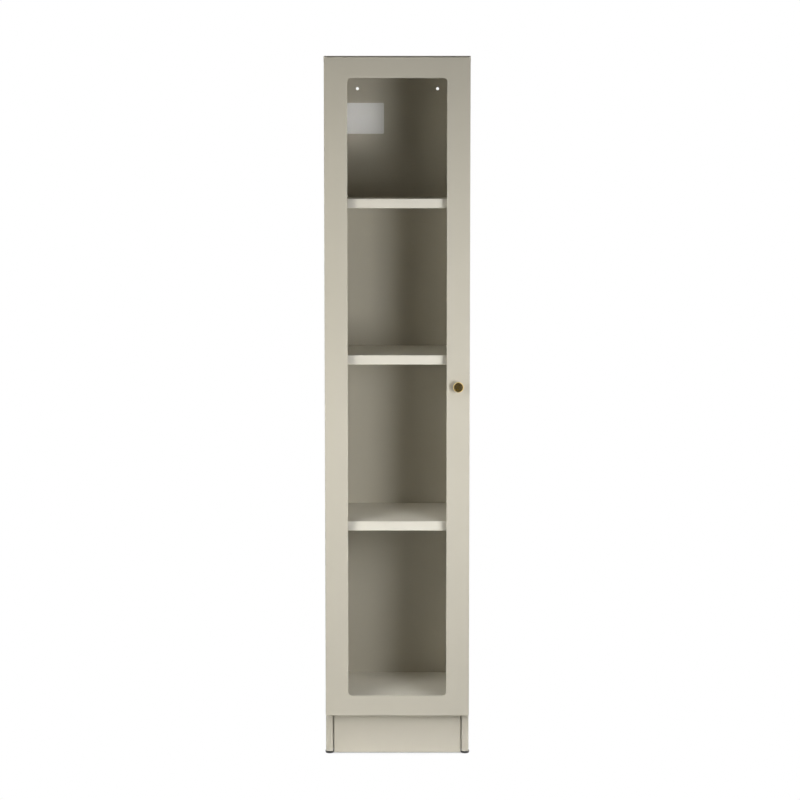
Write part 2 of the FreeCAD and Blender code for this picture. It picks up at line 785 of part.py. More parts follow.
# Turned knob at the middle of the right stile, with its screw from inside the door.
knob = new_body("knob")
knob_radius = d.knob_diameter / 2
neck_radius = d.knob_neck_diameter / 2
screw_radius = d.screw_diameter / 2
flare = knob_radius - neck_radius
flare_middle = (d.knob_neck_height + d.knob_flare_height) / 2
turn(knob, [
    (screw_radius, zero),
    (d.knob_base_diameter / 2, zero),
    (d.knob_base_diameter / 2, d.knob_base_height),
    (neck_radius, d.knob_base_height + d.knob_base_taper),
    (neck_radius, d.knob_neck_height),
    (neck_radius + flare * knob_flare_share, flare_middle),
    (knob_radius, d.knob_flare_height),
    (knob_radius, d.knob_projection),
    (zero, d.knob_projection),
    (zero, d.knob_bore_depth),
    (screw_radius, d.knob_bore_depth),
])
round_edges(knob, d.knob_rim_radius, lies_at("z", d.knob_projection))
place(knob, knob_x, door_front, knob_z, "front")
knob_screw = new_body("knob_screw")
turn(knob_screw, [
    (zero, -(wall + d.screw_head_height)),
    (d.screw_head_diameter / 2, -(wall + d.screw_head_height)),
    (d.screw_head_diameter / 2, -wall),
    (screw_radius, -wall),
    (screw_radius, d.knob_bore_depth),
    (zero, d.knob_bore_depth),
])
place(knob_screw, knob_x, door_front, knob_z, "front")

# Nothing is written unless every object and every sub-part is sound.
doc.recompute()
for thing in doc.Objects:
    if "Invalid" in thing.State or "Error" in thing.State:
        raise RuntimeError(f"{thing.Label} failed to build")
for part in subparts:
    if part.Shape.isNull() or not part.Shape.isValid() or not part.Shape.Solids:
        raise RuntimeError(f"{part.Label} has no sound shape")
for part in subparts:
    part.Shape.exportStep(f"parts/{part.Label}.step")
    print(part.Label, len(part.Shape.Solids), round(part.Shape.Volume))
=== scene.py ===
import math

import bmesh
import bpy
from mathutils import Matrix, Vector


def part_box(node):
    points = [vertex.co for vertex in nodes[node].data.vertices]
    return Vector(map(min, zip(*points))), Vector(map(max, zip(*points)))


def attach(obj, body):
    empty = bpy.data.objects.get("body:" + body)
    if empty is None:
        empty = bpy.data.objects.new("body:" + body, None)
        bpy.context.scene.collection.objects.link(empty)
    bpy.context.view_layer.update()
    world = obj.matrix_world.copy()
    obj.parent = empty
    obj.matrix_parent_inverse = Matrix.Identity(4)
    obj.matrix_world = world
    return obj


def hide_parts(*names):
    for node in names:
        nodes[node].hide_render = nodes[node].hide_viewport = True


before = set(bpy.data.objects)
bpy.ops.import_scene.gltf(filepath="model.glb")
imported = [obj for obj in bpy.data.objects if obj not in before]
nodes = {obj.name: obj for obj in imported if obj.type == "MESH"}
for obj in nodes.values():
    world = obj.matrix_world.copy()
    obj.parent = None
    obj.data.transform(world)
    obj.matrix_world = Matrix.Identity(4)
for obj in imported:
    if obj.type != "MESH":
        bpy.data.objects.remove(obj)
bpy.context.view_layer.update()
scene = bpy.context.scene
scene.view_settings.view_transform = "Standard"
mm = 0.001  # the dictionaries below are in millimetres and degrees
towardsRear = Matrix.Rotation(math.radians(-90), 4, "X")  # turns a piece's +Z to face +Y
towardsFront = Matrix.Rotation(math.radians(90), 4, "X")  # turns a piece's +Z to face -Y
print("frame:", len(nodes), "nodes")


# Camera, a little above the upper shelf and tipped down slightly
cameraSetup = {
    "place": (14.3, -6337.7, 1559.4),
    "tipDown": 5.645,
    "turnLeft": 0.065,
    "lens": 106.31,
    "sensor": 36,
}


def setCamera(setup):
    data = bpy.data.cameras.new("camera")
    data.lens = setup["lens"]
    data.sensor_width = setup["sensor"]
    view = bpy.data.objects.new("camera", data)
    view.location = Vector(setup["place"]) * mm
    view.rotation_euler = (math.radians(90 - setup["tipDown"]), 0, math.radians(setup["turnLeft"]))
    scene.collection.objects.link(view)
    scene.camera = view


setCamera(cameraSetup)
print("camera set")


# Node helpers
def setInput(tree, socket, value):
    if isinstance(value, bpy.types.NodeSocket):
        tree.links.new(value, socket)
    else:
        socket.default_value = value


def addNode(tree, kind, inputs=None, **options):
    node = tree.nodes.new("ShaderNode" + kind)
    for option, value in options.items():
        setattr(node, option, value)
    for name, value in (inputs or {}).items():
        setInput(tree, node.inputs[name], value)
    return node


def calc(tree, operation, *values):
    return addNode(tree, "Math", dict(enumerate(values)), operation=operation).outputs[0]


def mixColour(tree, share, first, second):
    mix = addNode(tree, "Mix", data_type="RGBA")
    for index, value in ((0, share), (6, first), (7, second)):  # sockets of the colour mix
        setInput(tree, mix.inputs[index], value)
    return mix.outputs[2]


def newGroup(name, inputs, outputs):
    group = bpy.data.node_groups.new(name, "ShaderNodeTree")
    for label, value in inputs.items():
        kind = "NodeSocketFloat" if isinstance(value, float) else "NodeSocketColor"
        group.interface.new_socket(label, in_out="INPUT", socket_type=kind).default_value = value
    for label, kind in outputs.items():
        group.interface.new_socket(label, in_out="OUTPUT", socket_type="NodeSocket" + kind)
    takes = group.nodes.new("NodeGroupInput").outputs
    gives = group.nodes.new("NodeGroupOutput").inputs
    return group, takes, gives


def newMaterial(name):
    material = bpy.data.materials.new(name)
    material.use_nodes = True
    tree = material.node_tree
    return material, tree, tree.nodes["Principled BSDF"]


# Skin of a sprayed or moulded surface: wide soft mottle under fine pimples
skinEffect = {
    "cloudScale": 6.0,
    "cloudDetail": 4.0,
    "pimpleDetail": 2.0,
    "mean": 0.5,  # of a noise texture
}


def makeCoatSkin(effect):
    group, takes, gives = newGroup(
        "coatSkin",
        {"Colour": (0.5, 0.5, 0.5, 1.0), "Mottle": 0.05, "Grain": 900.0, "Roughness": 0.45, "Spread": 0.1},
        {"Colour": "Color", "Roughness": "Float", "Height": "Float"},
    )
    spot = addNode(group, "TexCoord").outputs["Object"]
    cloudInputs = {"Vector": spot, "Scale": effect["cloudScale"], "Detail": effect["cloudDetail"]}
    cloud = addNode(group, "TexNoise", cloudInputs).outputs["Fac"]
    pimpleInputs = {"Vector": spot, "Scale": takes["Grain"], "Detail": effect["pimpleDetail"]}
    pimple = addNode(group, "TexNoise", pimpleInputs).outputs["Fac"]
    drift = calc(group, "SUBTRACT", cloud, effect["mean"])
    shade = calc(group, "MULTIPLY_ADD", drift, takes["Mottle"], 1.0)
    tinted = addNode(group, "HueSaturation", {"Value": shade, "Color": takes["Colour"]})
    uneven = calc(group, "SUBTRACT", calc(group, "ADD", cloud, pimple), 2 * effect["mean"])
    roughness = calc(group, "MULTIPLY_ADD", uneven, takes["Spread"], takes["Roughness"])
    group.links.new(tinted.outputs["Color"], gives["Colour"])
    group.links.new(roughness, gives["Roughness"])
    group.links.new(pimple, gives["Height"])
    return group


# Dull patches that bare metal gets
tarnishEffect = {"detail": 5.0, "from": 0.38, "to": 0.66}


def makeTarnish(effect):
    group, takes, gives = newGroup(
        "tarnish",
        {
            "Bright": (0.6, 0.6, 0.6, 1.0),
            "Dull": (0.4, 0.4, 0.4, 1.0),
            "Patches": 60.0,
            "Amount": 0.5,
            "Polish": 0.25,
            "Matt": 0.45,
        },
        {"Colour": "Color", "Roughness": "Float"},
    )
    spot = addNode(group, "TexCoord").outputs["Object"]
    patchInputs = {"Vector": spot, "Scale": takes["Patches"], "Detail": effect["detail"]}
    patch = addNode(group, "TexNoise", patchInputs).outputs["Fac"]
    edges = {"Value": patch, "From Min": effect["from"], "From Max": effect["to"]}
    mask = calc(group, "MULTIPLY", addNode(group, "MapRange", edges).outputs["Result"], takes["Amount"])
    rise = calc(group, "SUBTRACT", takes["Matt"], takes["Polish"])
    group.links.new(mixColour(group, mask, takes["Bright"], takes["Dull"]), gives["Colour"])
    group.links.new(calc(group, "MULTIPLY_ADD", mask, rise, takes["Polish"]), gives["Roughness"])
    return group


coatSkin = makeCoatSkin(skinEffect)
tarnish = makeTarnish(tarnishEffect)


# Painted and moulded finishes, all built on the coat skin
def coatedFinish(name, look):
    material, tree, shader = newMaterial(name)
    skinInputs = {
        "Colour": look["colour"] + (1.0,),
        "Mottle": look["mottle"],
        "Grain": look["grain"],
        "Roughness": look["roughness"],
        "Spread": look["spread"],
    }
    skin = addNode(tree, "Group", skinInputs, node_tree=coatSkin)
    bumpInputs = {
        "Height": skin.outputs["Height"],
        "Strength": look["bump"],
        "Distance": look["pimple"] * mm,
    }
    bump = addNode(tree, "Bump", bumpInputs)
    tree.links.new(skin.outputs["Colour"], shader.inputs["Base Color"])
    tree.links.new(skin.outputs["Roughness"], shader.inputs["Roughness"])
    tree.links.new(bump.outputs["Normal"], shader.inputs["Normal"])
    shader.inputs["Specular IOR Level"].default_value = look["gloss"]
    return material


cabinetPaintLook = {  # satin powder coat
    "colour": (0.57, 0.54, 0.462),
    "mottle": 0.05,
    "grain": 700.0,
    "roughness": 0.46,
    "spread": 0.1,
    "bump": 0.18,
    "pimple": 0.06,
    "gloss": 0.4,
}
paintedLightShelfLook = {  # the cabinet coat made paler for the shelves and floor tray: painted light, for the brighter light on the shelf lips
    "colour": (0.8, 0.77, 0.7),
    "mottle": 0.04,
    "grain": 700.0,
    "roughness": 0.46,
    "spread": 0.1,
    "bump": 0.18,
    "pimple": 0.06,
    "gloss": 0.4,
}
blackPlasticLook = {  # grained glides
    "colour": (0.018, 0.018, 0.019),
    "mottle": 0.3,
    "grain": 2600.0,
    "roughness": 0.42,
    "spread": 0.2,
    "bump": 0.35,
    "pimple": 0.08,
    "gloss": 0.5,
}
nylonLook = {  # white bushes
    "colour": (0.8, 0.79, 0.75),
    "mottle": 0.06,
    "grain": 3200.0,
    "roughness": 0.4,
    "spread": 0.12,
    "bump": 0.2,
    "pimple": 0.04,
    "gloss": 0.5,
}
catchPlasticLook = {  # beige catch housings
    "colour": (0.5, 0.48, 0.42),
    "mottle": 0.06,
    "grain": 2600.0,
    "roughness": 0.45,
    "spread": 0.12,
    "bump": 0.25,
    "pimple": 0.05,
    "gloss": 0.5,
}
rubberLook = {  # soft clear bumpers, gone a little cloudy
    "colour": (0.55, 0.55, 0.53),
    "mottle": 0.12,
    "grain": 1800.0,
    "roughness": 0.35,
    "spread": 0.15,
    "bump": 0.1,
    "pimple": 0.03,
    "gloss": 0.5,
}
tapeLook = {  # closed-cell foam
    "colour": (0.62, 0.61, 0.58),
    "mottle": 0.12,
    "grain": 2200.0,
    "roughness": 0.85,
    "spread": 0.1,
    "bump": 0.8,
    "pimple": 0.2,
    "gloss": 0.25,
}
stickerLook = {  # coated label stock
    "colour": (0.97, 0.975, 0.98),
    "mottle": 0.02,
    "grain": 1500.0,
    "roughness": 0.5,
    "spread": 0.15,
    "bump": 0.12,
    "pimple": 0.03,
    "gloss": 0.4,
}
cabinetPaint = coatedFinish("cabinetPaint", cabinetPaintLook)
paintedLightShelfPaint = coatedFinish("paintedLightShelfPaint", paintedLightShelfLook)
blackPlastic = coatedFinish("blackPlastic", blackPlasticLook)
whiteNylon = coatedFinish("whiteNylon", nylonLook)
catchPlastic = coatedFinish("catchPlastic", catchPlasticLook)
clearRubber = coatedFinish("clearRubber", rubberLook)
foamTape = coatedFinish("foamTape", tapeLook)
stickerStock = coatedFinish("stickerStock", stickerLook)


# Bare metals
def metalFinish(name, look):
    material, tree, shader = newMaterial(name)
    patchInputs = {
        "Bright": look["bright"] + (1.0,),
        "Dull": look["dull"] + (1.0,),
        "Patches": look["patches"],
        "Amount": look["amount"],
        "Polish": look["polish"],
        "Matt": look["matt"],
    }
    patches = addNode(tree, "Group", patchInputs, node_tree=tarnish)
    shader.inputs["Metallic"].default_value = 1.0
    tree.links.new(patches.outputs["Colour"], shader.inputs["Base Color"])
    tree.links.new(patches.outputs["Roughness"], shader.inputs["Roughness"])
    return material, tree, shader, patches


def turnedLines(tree, shader, centre, look):  # fine rings round an axis along Y
    spot = addNode(tree, "TexCoord").outputs["Object"]
    own = addNode(tree, "Mapping", {"Vector": spot, "Location": -centre}).outputs["Vector"]
    waveInputs = {
        "Vector": own,
        "Scale": look["rings"],
        "Distortion": look["waver"],
        "Detail": look["waverDetail"],
    }
    rings = addNode(tree, "TexWave", waveInputs, wave_type="RINGS", rings_direction="Y")
    bumpInputs = {"Height": rings.outputs["Fac"], "Strength": look["bump"], "Distance": look["ridge"] * mm}
    tree.links.new(addNode(tree, "Bump", bumpInputs).outputs["Normal"], shader.inputs["Normal"])
    return own


brassLook = {
    # bright is lifted to a pale cream that paints the rim's highlight
    "bright": (0.85, 0.68, 0.36),
    "dull": (0.35, 0.205, 0.02),
    "patches": 190.0,
    "amount": 1.5,  # above 1 the patches run together
    "polish": 0.14,
    "matt": 0.24,
    "rings": 420.0,
    "waver": 0.6,
    "waverDetail": 2.0,
    "bump": 0.12,
    "ridge": 0.03,
    "rubAndHighlightFrom": 11.0,  # radius where the rim turns bright: hand wear, and a painted highlight on the rim over a painted dark reflection on the face
    "rubAndHighlightTo": 12.6,
}
zincLook = {
    "bright": (0.62, 0.62, 0.61),
    "dull": (0.42, 0.42, 0.41),
    "patches": 700.0,
    "amount": 0.6,
    "polish": 0.28,
    "matt": 0.5,
}
magnetLook = {
    "bright": (0.13, 0.13, 0.135),
    "dull": (0.07, 0.068, 0.066),
    "patches": 900.0,
    "amount": 0.8,
    "polish": 0.35,
    "matt": 0.6,
}


def brassFinish(look):
    material, tree, shader, patches = metalFinish("agedBrass", look)
    low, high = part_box("knob")
    own = turnedLines(tree, shader, (low + high) / 2, look)
    across = addNode(tree, "SeparateXYZ", {"Vector": own}).outputs
    flat = addNode(tree, "CombineXYZ", {"X": across["X"], "Z": across["Z"]}).outputs["Vector"]
    radius = addNode(tree, "VectorMath", {0: flat}, operation="LENGTH").outputs["Value"]
    # the face is held dull and dark and the rim bright: partly hand wear, partly painted reflection and
    # painted highlight
    rubAndHighlightInputs = {
        "Value": radius,
        "From Min": look["rubAndHighlightFrom"] * mm,
        "From Max": look["rubAndHighlightTo"] * mm,
        "To Min": look["amount"],
        "To Max": 0.0,
    }
    rubAndHighlightMask = addNode(tree, "MapRange", rubAndHighlightInputs).outputs["Result"]
    tree.links.new(rubAndHighlightMask, patches.inputs["Amount"])
    return material


agedBrass = brassFinish(brassLook)
zincSteel = metalFinish("zincSteel", zincLook)[0]
groundMagnet = metalFinish("groundMagnet", magnetLook)[0]


# Clear float glass: a thin sheet that light passes straight through, with a faint film on its shine
glassLook = {
    "tint": (0.996, 0.996, 0.99),
    "ior": 1.5,
    "filmScale": 5.0,
    "filmDetail": 5.0,
    "filmFrom": 0.45,  # noise where the film begins
    "filmTo": 0.75,  # and where it is full
    "clean": 0.02,
    "filmed": 0.09,
}


def glassFinish(look):
    material, tree, shader = newMaterial("clearGlass")
    tree.nodes.remove(shader)
    spot = addNode(tree, "TexCoord").outputs["Object"]
    noiseInputs = {"Vector": spot, "Scale": look["filmScale"], "Detail": look["filmDetail"]}
    film = addNode(tree, "TexNoise", noiseInputs)
    filmInputs = {
        "Value": film.outputs["Fac"],
        "From Min": look["filmFrom"],
        "From Max": look["filmTo"],
        "To Min": look["clean"],
        "To Max": look["filmed"],
    }
    dulled = addNode(tree, "MapRange", filmInputs).outputs["Result"]
    clear = addNode(tree, "BsdfTransparent", {"Color": look["tint"] + (1.0,)})
    shine = addNode(tree, "BsdfAnisotropic", {"Roughness": dulled})
    path = addNode(tree, "LightPath").outputs
    behind = addNode(tree, "NewGeometry").outputs["Backfacing"]
    lampRays = calc(tree, "MAXIMUM", path["Is Shadow Ray"], path["Is Diffuse Ray"])
    shows = calc(tree, "SUBTRACT", 1.0, calc(tree, "MAXIMUM", behind, lampRays))
    share = calc(tree, "MULTIPLY", addNode(tree, "Fresnel", {"IOR": look["ior"]}).outputs["Fac"], shows)
    blend = addNode(tree, "MixShader", {0: share, 1: clear.outputs[0], 2: shine.outputs[0]})
    tree.links.new(blend.outputs[0], tree.nodes["Material Output"].inputs["Surface"])
    return material


clearGlass = glassFinish(glassLook)
print("finishes made")


# CAD nodes take the finish of their slot, and the shelves and the floor tray a paler copy of the coat that
# paints in light
slotFinishes = {
    "cabinet_paint": cabinetPaint,
    "clear_glass": clearGlass,
    "aged_brass": agedBrass,
    "black_plastic": blackPlastic,
    "white_nylon": whiteNylon,
    "zinc_steel": zincSteel,
    "glazing_tape": foamTape,
    "magnet": groundMagnet,
    "clear_rubber": clearRubber,
    "catch_plastic": catchPlastic,
}
paintedLightNodes = ("floor_panel", "shelf_lower", "shelf_middle", "shelf_upper")
for name, node in nodes.items():
    for slot in node.material_slots:
        slot.material = paintedLightShelfPaint if name in paintedLightNodes else slotFinishes[slot.material.name]
print("frame dressed")


# Mesh helpers
weldGap = 0.0005  # points nearer than this become one
cornerAngle = math.radians(80)  # edges that turn more than this are corners
roundSegments = 6  # in each rounded corner of an outline


def linkMesh(name, bm, finish):
    mesh = bpy.data.meshes.new(name)
    bm.to_mesh(mesh)
    bm.free()
    mesh.materials.append(finish)
    thing = bpy.data.objects.new(name, mesh)
    scene.collection.objects.link(thing)
    return thing


def addPiece(name, bm, finish, body, stands):  # stands: the CAD nodes that it stands for
    bmesh.ops.recalc_face_normals(bm, faces=bm.faces)
    piece = linkMesh(name, bm, finish)
    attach(piece, body)
    if stands:
        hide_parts(*stands)
    return piece


def smoothBy(piece, angle):  # shades gentle edges smooth and keeps the sharper ones
    piece.data.shade_smooth()
    piece.data.set_sharp_from_angle(angle=math.radians(angle))


def vertsIn(geom):
    return [part for part in geom if isinstance(part, bmesh.types.BMVert)]


def edgesIn(geom):
    return [part for part in geom if isinstance(part, bmesh.types.BMEdge)]


def isCorner(edge):
    return edge.calc_face_angle(0) > cornerAngle


def bevelled(bm, geom, affect, offset, segments):
    bmesh.ops.bevel(bm, geom=geom, affect=affect, offset=offset, segments=segments, profile=0.5, material=-1)


def rectangle(width, depth):  # flat, facing +Z, its middle at the origin
    bm = bmesh.new()
    bmesh.ops.create_grid(bm, x_segments=1, y_segments=1, size=0.5)  # one unit across
    bmesh.ops.scale(bm, vec=(width, depth, 1), verts=bm.verts)
    return bm


def thickened(bm, height):  # a flat sheet becomes a plate
    upper = bmesh.ops.extrude_face_region(bm, geom=bm.faces[:])["geom"]
    bmesh.ops.translate(bm, vec=(0, 0, height), verts=vertsIn(upper))


def solidsOf(name):  # boxes of a CAD node's separate solids, low and high corner, in millimetres
    bm = bmesh.new()
    bm.from_mesh(nodes[name].data)
    bmesh.ops.remove_doubles(bm, verts=bm.verts, dist=weldGap * mm)
    unseen = set(bm.verts)
    boxes = []
    while unseen:
        reached = [unseen.pop()]
        for vert in reached:  # grows while it is walked
            fresh = [edge.other_vert(vert) for edge in vert.link_edges if edge.other_vert(vert) in unseen]
            unseen.difference_update(fresh)
            reached += fresh
        axes = list(zip(*(vert.co / mm for vert in reached)))
        boxes.append((Vector(map(min, axes)), Vector(map(max, axes))))
    bm.free()
    return sorted(boxes, key=lambda box: [round(value, 2) for value in box[0]])  # the same order each run


def centresAt(boxes, depth):  # middle of each box across X and Z, at one depth along Y
    return [((low.x + high.x) / 2, depth, (low.z + high.z) / 2) for low, high in boxes]


def turned(outline, steps):  # outline of (radius, height, rounding) spun about Z
    bm = bmesh.new()
    verts = [bm.verts.new((radius, 0, height)) for radius, height, rounding in outline]
    for first, second in zip(verts, verts[1:]):
        bm.edges.new((first, second))
    for vert, (radius, height, rounding) in zip(verts, outline):
        if rounding:
            bevelled(bm, [vert], "VERTICES", rounding, roundSegments)
    bmesh.ops.spin(
        bm,
        geom=bm.verts[:] + bm.edges[:],
        cent=(0, 0, 0),
        axis=(0, 0, 1),
        angle=math.tau,
        steps=steps,
        use_merge=True,
    )
    bmesh.ops.remove_doubles(bm, verts=bm.verts, dist=weldGap)
    bmesh.ops.recalc_face_normals(bm, faces=bm.faces)
    return bm


def placed(bm, place, turn=Matrix.Identity(4)):  # from millimetres at the origin to its place in metres
    bmesh.ops.transform(bm, matrix=Matrix.Scale(mm, 4) @ Matrix.Translation(place) @ turn, verts=bm.verts)
    return bm


def repeated(shape, places, turn):  # one mesh with a copy of a shape at each place
    mesh = bpy.data.meshes.new("pattern")
    shape.to_mesh(mesh)
    shape.free()
    bm = bmesh.new()
    for place in places:
        before = len(bm.verts)
        bm.from_mesh(mesh)
        bm.verts.ensure_lookup_table()
        matrix = Matrix.Scale(mm, 4) @ Matrix.Translation(place) @ turn
        bmesh.ops.transform(bm, matrix=matrix, verts=bm.verts[before:])
    bpy.data.meshes.remove(mesh)
    return bm


def extrudeRing(bm, edges, radius, height):  # next ring of a turned wall; gives back its edges
    out = bmesh.ops.extrude_edge_only(bm, edges=edges)["geom"]
    for vert in vertsIn(out):
        vert.co = Vector((vert.co.x, vert.co.y, 0)).normalized() * radius
        vert.co.z = height
    return edgesIn(out)


# Knob: turned brass with a tapered base, a waisted neck and a flat face with a rounded rim
knobShape = {
    "radius": 14,
    "projection": 24,
    "rimRound": 2.4,
    "baseRadius": 6.5,
    "baseRound": 0.3,
    "baseHeight": 2.5,
    "baseTopRound": 0.5,
    "neckRadius": 4.5,
    "neckLow": 5,
    "neckLowRound": 1.2,
    "neckHigh": 12,
    "neckHighRound": 4,
    "flareTop": 17,
    "flareRound": 1.6,
    "faceRing": 10.4,  # a shallow turned line round the face
    "faceRingDepth": 0.25,
    "steps": 96,
    "smooth": 32,
}


def makeKnob(shape):
    low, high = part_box("knob")
    middle = (low + high) / 2 / mm
    ring = shape["faceRing"]
    groove = shape["faceRingDepth"]
    face = shape["projection"]
    outline = [
        (0, 0, 0),
        (shape["baseRadius"], 0, shape["baseRound"]),
        (shape["baseRadius"], shape["baseHeight"], shape["baseTopRound"]),
        (shape["neckRadius"], shape["neckLow"], shape["neckLowRound"]),
        (shape["neckRadius"], shape["neckHigh"], shape["neckHighRound"]),
        (shape["radius"], shape["flareTop"], shape["flareRound"]),
        (shape["radius"], face, shape["rimRound"]),
        (ring + groove, face, 0),
        (ring, face - groove, 0),
        (ring - groove, face, 0),
        (0, face, 0),
    ]
    bm = placed(turned(outline, shape["steps"]), (middle.x, high.y / mm, middle.z), towardsFront)
    piece = addPiece("turned_knob", bm, agedBrass, "door", ["knob"])
    smoothBy(piece, shape["smooth"])


makeKnob(knobShape)


# Feet: round plastic glides with a soft lower edge and a stem in the leg's end
footShape = {
    "edge": 3,
    "lip": 0.6,
    "height": 7,
    "stemRadius": 4,
    "stemEdge": 0.8,
    "steps": 64,
    "smooth": 35,
}


def makeFoot(name, shape):
    low, high = (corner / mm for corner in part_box(name))
    radius = (high.x - low.x) / 2
    outline = [
        (0, 0, 0),
        (radius, 0, shape["edge"]),
        (radius, shape["height"], shape["lip"]),
        (shape["stemRadius"], shape["height"], 0),
        (shape["stemRadius"], high.z, shape["stemEdge"]),
        (0, high.z, 0),
    ]
    bm = placed(turned(outline, shape["steps"]), ((low.x + high.x) / 2, (low.y + high.y) / 2, low.z))
    piece = addPiece(name.replace("foot", "glide"), bm, blackPlastic, "carcass", [name])
    smoothBy(piece, shape["smooth"])


for name in ("foot_front_left", "foot_front_right", "foot_rear_left", "foot_rear_right"):
    makeFoot(name, footShape)
print("knob and feet made")


# Screws: low round heads with a cross recess
screwShape = {
    "headRadius": 4,
    "headHeight": 1.8,
    "shoulder": 1.1,
    "shoulderSteps": 4,
    "shankRadius": 2,
    "tipRadius": 1.2,
    "recessHalf": 0.5,
    "recessReach": 1.9,
    "recessDepth": 1.2,
    "recessTaper": 0.6,
    "segments": 36,
    "smooth": 30,
}


def crossScrew(shape, shank):  # head up, its seat at z = 0
    bm = bmesh.new()
    top = shape["headHeight"]
    half = shape["recessHalf"]
    bmesh.ops.create_grid(bm, x_segments=1, y_segments=1, size=half)
    for edge in bm.edges[:]:
        away = ((edge.verts[0].co + edge.verts[1].co) / 2).normalized()
        arm = bmesh.ops.extrude_edge_only(bm, edges=[edge])["geom"]
        bmesh.ops.translate(bm, vec=away * (shape["recessReach"] - half), verts=vertsIn(arm))
    cross = bm.faces[:]
    outline = [edge for edge in bm.edges if edge.is_boundary]
    flat = shape["headRadius"] - shape["shoulder"]
    rimVerts = bmesh.ops.create_circle(bm, radius=flat, segments=shape["segments"])["verts"]
    rim = list({edge for vert in rimVerts for edge in vert.link_edges})
    bmesh.ops.translate(bm, vec=(0, 0, top), verts=bm.verts)
    bmesh.ops.triangle_fill(bm, edges=outline + rim, use_beauty=True)
    pitVerts = vertsIn(bmesh.ops.extrude_face_region(bm, geom=cross)["geom"])
    bmesh.ops.delete(bm, geom=[face for face in cross if face.is_valid], context="FACES_ONLY")
    bmesh.ops.scale(bm, vec=(shape["recessTaper"], shape["recessTaper"], 1), verts=pitVerts)
    bmesh.ops.translate(bm, vec=(0, 0, -shape["recessDepth"]), verts=pitVerts)
    for step in range(shape["shoulderSteps"]):  # rounded shoulder, a quarter turn
        angle = math.radians(90 * (step + 1) / shape["shoulderSteps"])
        radius = flat + shape["shoulder"] * math.sin(angle)
        rim = extrudeRing(bm, rim, radius, top - shape["shoulder"] * (1 - math.cos(angle)))
    rim = extrudeRing(bm, rim, shape["headRadius"], 0)
    rim = extrudeRing(bm, rim, shape["shankRadius"], 0)
    rim = extrudeRing(bm, rim, shape["shankRadius"], -shank + shape["shankRadius"] - shape["tipRadius"])
    rim = extrudeRing(bm, rim, shape["tipRadius"], -shank)
    bmesh.ops.holes_fill(bm, edges=rim, sides=0)
    bmesh.ops.recalc_face_normals(bm, faces=bm.faces)
    return bm


def makeScrews(name, piece, body, shape):
    boxes = solidsOf(name)
    low, high = boxes[0]
    seat = high.y - shape["headHeight"]
    bm = repeated(crossScrew(shape, seat - low.y), centresAt(boxes, seat), towardsRear)
    smoothBy(addPiece(piece, bm, zincSteel, body, [name]), shape["smooth"])


makeScrews("back_screws", "back_cross_screws", "carcass", screwShape)
makeScrews("top_screws", "top_cross_screws", "carcass", screwShape)
makeScrews("knob_screw", "knob_cross_screw", "door", screwShape)


# Retainer studs with a rolled thread, and their nuts
studShape = {
    "radius": 2,
    "root": 1.66,
    "pitch": 0.7,
    "spareTurns": 2,  # cut off again to square the ends
    "steps": 24,
    "smooth": 40,
}
nutShape = {
    "flats": 7,
    "height": 3.2,
    "bore": 2.05,
    "boreSegments": 24,
    "edge": 0.45,
    "edgeSegments": 2,
    "smooth": 30,
}


def threadedStud(shape, length):  # stands on z = 0
    bm = bmesh.new()
    pitch = shape["pitch"]
    turns = math.ceil(length / pitch) + shape["spareTurns"]
    verts = []
    for turn in range(-1, turns):  # crest and root of each turn, from one below the foot
        verts.append(bm.verts.new((shape["radius"], 0, (turn - 0.5) * pitch)))
        verts.append(bm.verts.new((shape["root"], 0, turn * pitch)))
    edges = [bm.edges.new(pair) for pair in zip(verts, verts[1:])]
    rise = Vector((0, 0, pitch / shape["steps"]))
    bmesh.ops.spin(
        bm,
        geom=verts + edges,
        cent=(0, 0, 0),
        axis=(0, 0, 1),
        dvec=rise,
        angle=math.tau,
        steps=shape["steps"],
    )
    bmesh.ops.remove_doubles(bm, verts=bm.verts, dist=weldGap)
    for height, side in ((0, -1), (length, 1)):  # square ends
        cut = bmesh.ops.bisect_plane(
            bm,
            geom=bm.verts[:] + bm.edges[:] + bm.faces[:],
            plane_co=(0, 0, height),
            plane_no=(0, 0, side),
            clear_outer=True,
        )
        bmesh.ops.holes_fill(bm, edges=edgesIn(cut["geom_cut"]), sides=0)
    bmesh.ops.recalc_face_normals(bm, faces=bm.faces)
    return bm


def hexNut(shape):  # stands on z = 0, corners along X
    bm = bmesh.new()
    corner = shape["flats"] / math.sqrt(3)
    bmesh.ops.create_circle(bm, radius=corner, segments=6)
    bmesh.ops.rotate(bm, cent=(0, 0, 0), matrix=Matrix.Rotation(math.radians(90), 3, "Z"), verts=bm.verts)
    bmesh.ops.create_circle(bm, radius=shape["bore"], segments=shape["boreSegments"])
    bmesh.ops.triangle_fill(bm, edges=bm.edges[:], use_beauty=True)
    thickened(bm, shape["height"])
    bmesh.ops.recalc_face_normals(bm, faces=bm.faces)
    outside = shape["flats"] / 2 - shape["edge"]
    rims = []
    for edge in bm.edges:
        first, second = (vert.co for vert in edge.verts)
        level = abs(first.z - second.z) < shape["edge"]
        outer = min(first.xy.length, second.xy.length) > outside
        if isCorner(edge) and level and outer:
            rims.append(edge)
    bevelled(bm, rims, "EDGES", shape["edge"], shape["edgeSegments"])
    return bm


def makeStuds(shape):
    boxes = solidsOf("retainer_studs")
    low, high = boxes[0]
    bm = repeated(threadedStud(shape, high.y - low.y), centresAt(boxes, low.y), towardsRear)
    piece = addPiece("threaded_studs", bm, zincSteel, "door", ["retainer_studs"])
    smoothBy(piece, shape["smooth"])


def makeNuts(shape):
    boxes = solidsOf("retainer_nuts")
    low = boxes[0][0]
    bm = repeated(hexNut(shape), centresAt(boxes, low.y), towardsRear)
    piece = addPiece("hex_nuts", bm, zincSteel, "door", ["retainer_nuts"])
    smoothBy(piece, shape["smooth"])


